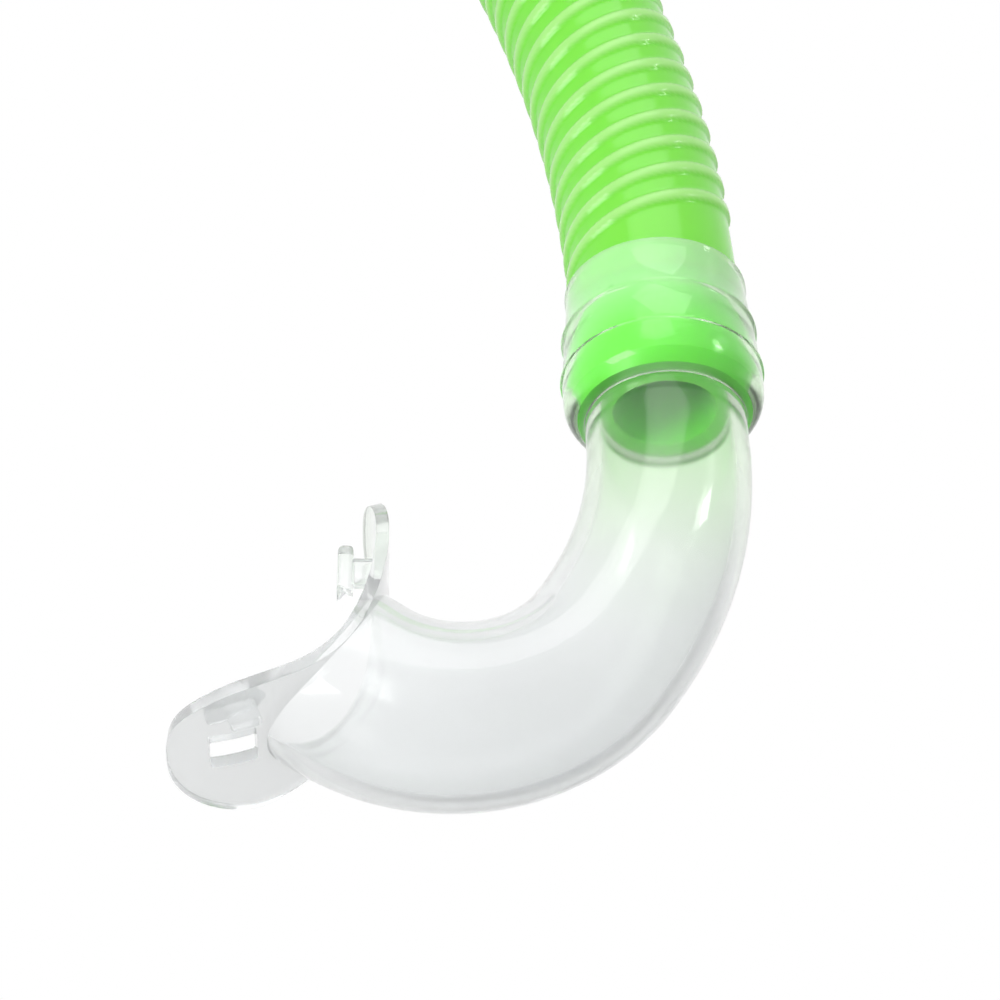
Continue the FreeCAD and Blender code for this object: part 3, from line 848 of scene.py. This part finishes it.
@dataclass
class Hose:
    """Soft hose with four helical ribs, in one piece with its smooth ends."""

    layout: Layout
    sides: int = 144
    radius: float = 12.0 * MM
    bore_r: float = 10.0 * MM
    bend_r: float = 225.0 * MM
    length: float = 100.0 * MM
    rib_height: float = 0.5 * MM
    rib_width: float = 2.3 * MM
    rib_pitch: float = 5.1 * MM
    starts: int = 4
    smooth_top: float = 6.0 * MM
    last_rib: float = 82.5 * MM
    end_angle: float = 25.0
    step: float = 0.3 * MM
    rib_flank: float = 0.45 * MM
    rib_margin: float = 0.1
    skin_share: float = 0.9
    bore_sides: int = 64
    bore_stations: int = 60
    bore_past: float = 0.02
    stiff_top: float = 8.0 * MM
    stiff_end: float = 12.0 * MM
    smooth_angle: float = 60.0

    def _centre(self, along: float) -> Vector:
        """Point of the hose's middle line.

        Args:
            along: Distance from the hose's top end.

        Returns:
            The point.
        """
        angle = along / self.bend_r
        top = self.layout.hose_top
        return top + Vector((math.cos(angle) - 1, 0, -math.sin(angle))) * self.bend_r

    def _rib(self, along: float, angle: float) -> float:
        """Height of the ribs at a place, from 0 to 1.

        Args:
            along: Distance from the hose's top end.
            angle: Degrees round the hose.

        Returns:
            Share of the full rib height.
        """
        lead = self.rib_pitch * self.starts
        turns = (along - self.last_rib) / lead + angle / 360
        lane = (turns * self.starts + 0.5) % 1.0
        across = (lane - 0.5) * self.rib_pitch
        shape = max(0.0, min(1.0, (self.rib_width / 2 - abs(across)) / self.rib_flank))
        shape = shape * shape * (3 - 2 * shape)
        wound = angle if angle < self.end_angle else angle - 360
        if along - across + lead * wound / 360 > self.last_rib + self.rib_margin * self.rib_pitch:
            return 0.0
        if along - across < self.smooth_top:
            return 0.0
        return shape

    def build(self) -> bpy.types.Object:
        """Models the hose in one fixed bend between barrel and mouthpiece.

        Returns:
            The finished hose.
        """
        count = round(self.length / self.step)
        sections = [(self._centre(self.length * i / count), self.radius) for i in range(count + 1)]
        hose = Bench.sweep("ribbed_hose", sections, self.sides)
        pivot = self.layout.hose_top - Vector((self.bend_r, 0, 0))

        def spread(place: Vector) -> tuple[Vector, Vector, float]:
            """Finds a place along the hose.

            Args:
                place: The place.

            Returns:
                Middle of its section, offset from that and distance along.
            """
            spoke = place - pivot
            bend = math.atan2(-spoke.z, spoke.x)
            centre = pivot + Vector((math.cos(bend), 0, -math.sin(bend))) * self.bend_r
            return centre, place - centre, bend * self.bend_r

        def emboss(place: Vector) -> Vector:
            """Lifts a place of the outside where a rib runs.

            Args:
                place: The place on the smooth hose.

            Returns:
                The place on the ribbed one.
            """
            centre, offset, along = spread(place)
            if offset.length < self.radius * self.skin_share:
                return place
            out = (centre - pivot).normalized()
            angle = math.degrees(math.atan2(offset.y, offset.dot(out)))
            height = self.rib_height * self._rib(along, angle)
            return centre + offset * (1 + height / offset.length)
        Bench.reshape(hose, emboss)
        past = self.bore_past * self.length
        stations = [(i / self.bore_stations) * (self.length + 2 * past) - past
                    for i in range(self.bore_stations + 1)]
        bore = Bench.sweep("hose_bore", [(self._centre(along), self.bore_r) for along in stations],
                           self.bore_sides)
        Bench.combine(hose, bore, Cut.REMOVE)
        # Rib height drives the painted highlight on the ribs and the painted shade in the grooves.
        relief = hose.data.attributes.new("rib", "FLOAT", "POINT")
        heights = [(spread(vertex.co)[1].length - self.radius) / self.rib_height
                   for vertex in hose.data.vertices]
        relief.data.foreach_set("value", [min(1.0, max(0.0, height)) for height in heights])
        Bench.smooth(hose, self.smooth_angle)
        Bench.dress(hose, HOSE_GREEN)
        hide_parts("flex_hose")
        self._centre(self.stiff_top)
        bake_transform(hose)
        return hose


# ---------------------------------------------------------------- carried-over parts


FINISHES: dict[str, Finish] = {
    "end_sleeve": SLEEVE_GREEN,
    "hose_coupler": TUBE_GREEN,
    "barrel": TUBE_GREEN,
    "signal_band": BAND_ORANGE,
    "keeper_liner": SOFT_GREY,
    "keeper_ring": BLACK,
    "clip_pin": STEEL,
    "strap_clip": BLACK,
    "top_base": TOP_GREEN,
    "hinge_pin": STEEL,
    "valve_flap": WHITE,
    "flap_seal": SOFT_GREY,
    "float_block": FOAM,
    "top_shroud": TOP_GREEN,
    "top_cap": TOP_GREEN,
}


def dress_frame(frame: dict) -> None:
    """Gives every carried-over node its finish.
    """
    for name, finish in FINISHES.items():
        Bench.dress(frame["nodes"][name], finish)
        LOG.info("dressed %s with %s", name, finish.name)


# ---------------------------------------------------------------- studio


@dataclass
class Studio:
    """Camera, lamps, white surround and floor."""

    layout: Layout
    azimuth: float = -3.03
    elevation: float = -36.66
    roll: float = -2.61
    distance: float = 459.5 * MM
    shift_right: float = -23.19 * MM
    shift_up: float = -8.06 * MM
    lens: float = 119.34
    sensor: float = 36.0
    nearest: float = 10 * MM
    fill: float = 0.52
    floor_size: float = 6.0
    floor_drop: float = 4 * MM
    floor_tone: float = 0.9
    floor_roughness: float = 0.9
    floor_glow: float = 0.6
    aim: tuple[float, float, float] = (-20 * MM, 0.0, 0.0)

    def _axes(self) -> tuple[Vector, Vector, Vector]:
        """Camera's directions in the elbow's own frame.

        Returns:
            Right, up and back.
        """
        azimuth, elevation = math.radians(self.azimuth), math.radians(self.elevation)
        back = Vector((math.sin(azimuth) * math.cos(elevation),
                       -math.cos(azimuth) * math.cos(elevation), math.sin(elevation)))
        right = Vector((0, 0, 1)).cross(back).normalized()
        up = back.cross(right)
        roll = math.radians(self.roll)
        return (right * math.cos(roll) + up * math.sin(roll),
                up * math.cos(roll) - right * math.sin(roll), back)

    def camera(self) -> bpy.types.Object:
        """Makes the scene's camera.

        Returns:
            The camera.
        """
        right, up, back = self._axes()
        place = back * self.distance + right * self.shift_right + up * self.shift_up
        turn = Matrix((right, up, back)).transposed().to_4x4()
        camera = bpy.data.objects.new("camera", bpy.data.cameras.new("camera"))
        camera.data.lens = self.lens
        camera.data.sensor_width = self.sensor
        camera.data.clip_start = self.nearest
        camera.matrix_world = self.layout.elbow @ Matrix.Translation(place) @ turn
        bpy.context.scene.collection.objects.link(camera)
        bpy.context.scene.camera = camera
        return camera

    def _lamp(self, name: str, offset: Vector, size: tuple[float, float], power: float) -> None:
        """Adds a soft rectangular lamp aimed at the elbow.

        Args:
            name: Its name.
            offset: Where it stands, along the camera's right, up and back.
            size: Width and height.
            power: Watts.
        """
        axes = Matrix(self._axes()).transposed()
        start = self.layout.elbow @ (axes @ offset)
        target = self.layout.elbow @ Vector(self.aim)
        lamp = bpy.data.objects.new(name, bpy.data.lights.new(name, "AREA"))
        lamp.data.shape = "RECTANGLE"
        lamp.data.size, lamp.data.size_y = size
        lamp.data.energy = power
        lamp.location = start
        lamp.rotation_mode = "QUATERNION"
        lamp.rotation_quaternion = (target - start).to_track_quat("-Z", "Y")
        bpy.context.scene.collection.objects.link(lamp)

    def lamps(self) -> None:
        """Adds the lamps."""
        self._lamp("left_strip", Vector((-0.55, 0.15, 0.55)), (0.42, 0.5), 3.0)
        self._lamp("right_strip", Vector((0.80, 0.36, 0.22)), (0.12, 0.6), 2.4)
        self._lamp("overhead", Vector((0.0, 0.9, 0.1)), (0.8, 0.5), 1.8)

    def surround(self) -> None:
        """White to the camera, in gloss and through clear parts, and a soft fill elsewhere."""
        world = bpy.data.worlds.new("surround")
        bpy.context.scene.world = world
        world.use_nodes = True
        tree = world.node_tree
        shader = tree.nodes["Background"]
        shader.inputs["Color"].default_value = (1, 1, 1, 1)
        path = tree.nodes.new("ShaderNodeLightPath")
        seen = tree.nodes.new("ShaderNodeMath")
        seen.operation = "MAXIMUM"
        gloss = tree.nodes.new("ShaderNodeMath")
        gloss.operation = "MAXIMUM"
        tree.links.new(path.outputs["Is Glossy Ray"], gloss.inputs[0])
        tree.links.new(path.outputs["Is Transmission Ray"], gloss.inputs[1])
        tree.links.new(path.outputs["Is Camera Ray"], seen.inputs[0])
        tree.links.new(gloss.outputs["Value"], seen.inputs[1])
        strength = tree.nodes.new("ShaderNodeMapRange")
        strength.inputs["To Min"].default_value = self.fill
        strength.inputs["To Max"].default_value = 1.0
        tree.links.new(seen.outputs["Value"], strength.inputs["Value"])
        tree.links.new(strength.outputs["Result"], shader.inputs["Strength"])

    def floor(self, low: float) -> None:
        """Pale floor under the object, clear when seen from below.

        Args:
            low: Height of the object's lowest point.
        """
        Bench.clear()
        bpy.ops.mesh.primitive_plane_add(size=self.floor_size,
                                         location=(0, 0, low - self.floor_drop))
        floor = bpy.context.view_layer.objects.active
        floor.name = "floor"
        pale = bpy.data.materials.new("floor")
        pale.use_nodes = True
        tree = pale.node_tree
        shader = tree.nodes["Principled BSDF"]
        shader.inputs["Base Color"].default_value = (*[self.floor_tone] * 3, 1)
        shader.inputs["Roughness"].default_value = self.floor_roughness
        glow = tree.nodes.new("ShaderNodeEmission")
        path = tree.nodes.new("ShaderNodeLightPath")
        share = tree.nodes.new("ShaderNodeMath")
        share.operation = "MULTIPLY"
        share.inputs[1].default_value = self.floor_glow
        pale_mix = tree.nodes.new("ShaderNodeMixShader")
        tree.links.new(path.outputs["Is Camera Ray"], share.inputs[0])
        tree.links.new(share.outputs["Value"], pale_mix.inputs[0])
        tree.links.new(shader.outputs[0], pale_mix.inputs[1])
        tree.links.new(glow.outputs[0], pale_mix.inputs[2])
        clear = tree.nodes.new("ShaderNodeBsdfTransparent")
        side = tree.nodes.new("ShaderNodeNewGeometry")
        mix = tree.nodes.new("ShaderNodeMixShader")
        tree.links.new(side.outputs["Backfacing"], mix.inputs[0])
        tree.links.new(pale_mix.outputs[0], mix.inputs[1])
        tree.links.new(clear.outputs[0], mix.inputs[2])
        tree.links.new(mix.outputs[0], tree.nodes["Material Output"].inputs["Surface"])
        floor.data.materials.append(pale)
        floor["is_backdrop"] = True


def main() -> None:
    """Builds the snorkel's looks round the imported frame."""
    logging.basicConfig(level=logging.INFO, format="%(message)s")
    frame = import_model()
    solid_box = [list(corner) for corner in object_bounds()]
    layout = Layout(frame)
    bpy.context.scene.view_settings.view_transform = "Standard"
    dress_frame(frame)
    for maker in (Hose(layout), Mouthpiece(layout)):
        piece = maker.build()
        LOG.info("%s: %d faces", piece.name, len(piece.data.polygons))
    studio = Studio(layout)
    studio.camera()
    studio.lamps()
    studio.surround()
    studio.floor(solid_box[0][2])
    Bench.clear()


if __name__ == "__main__":
    main()
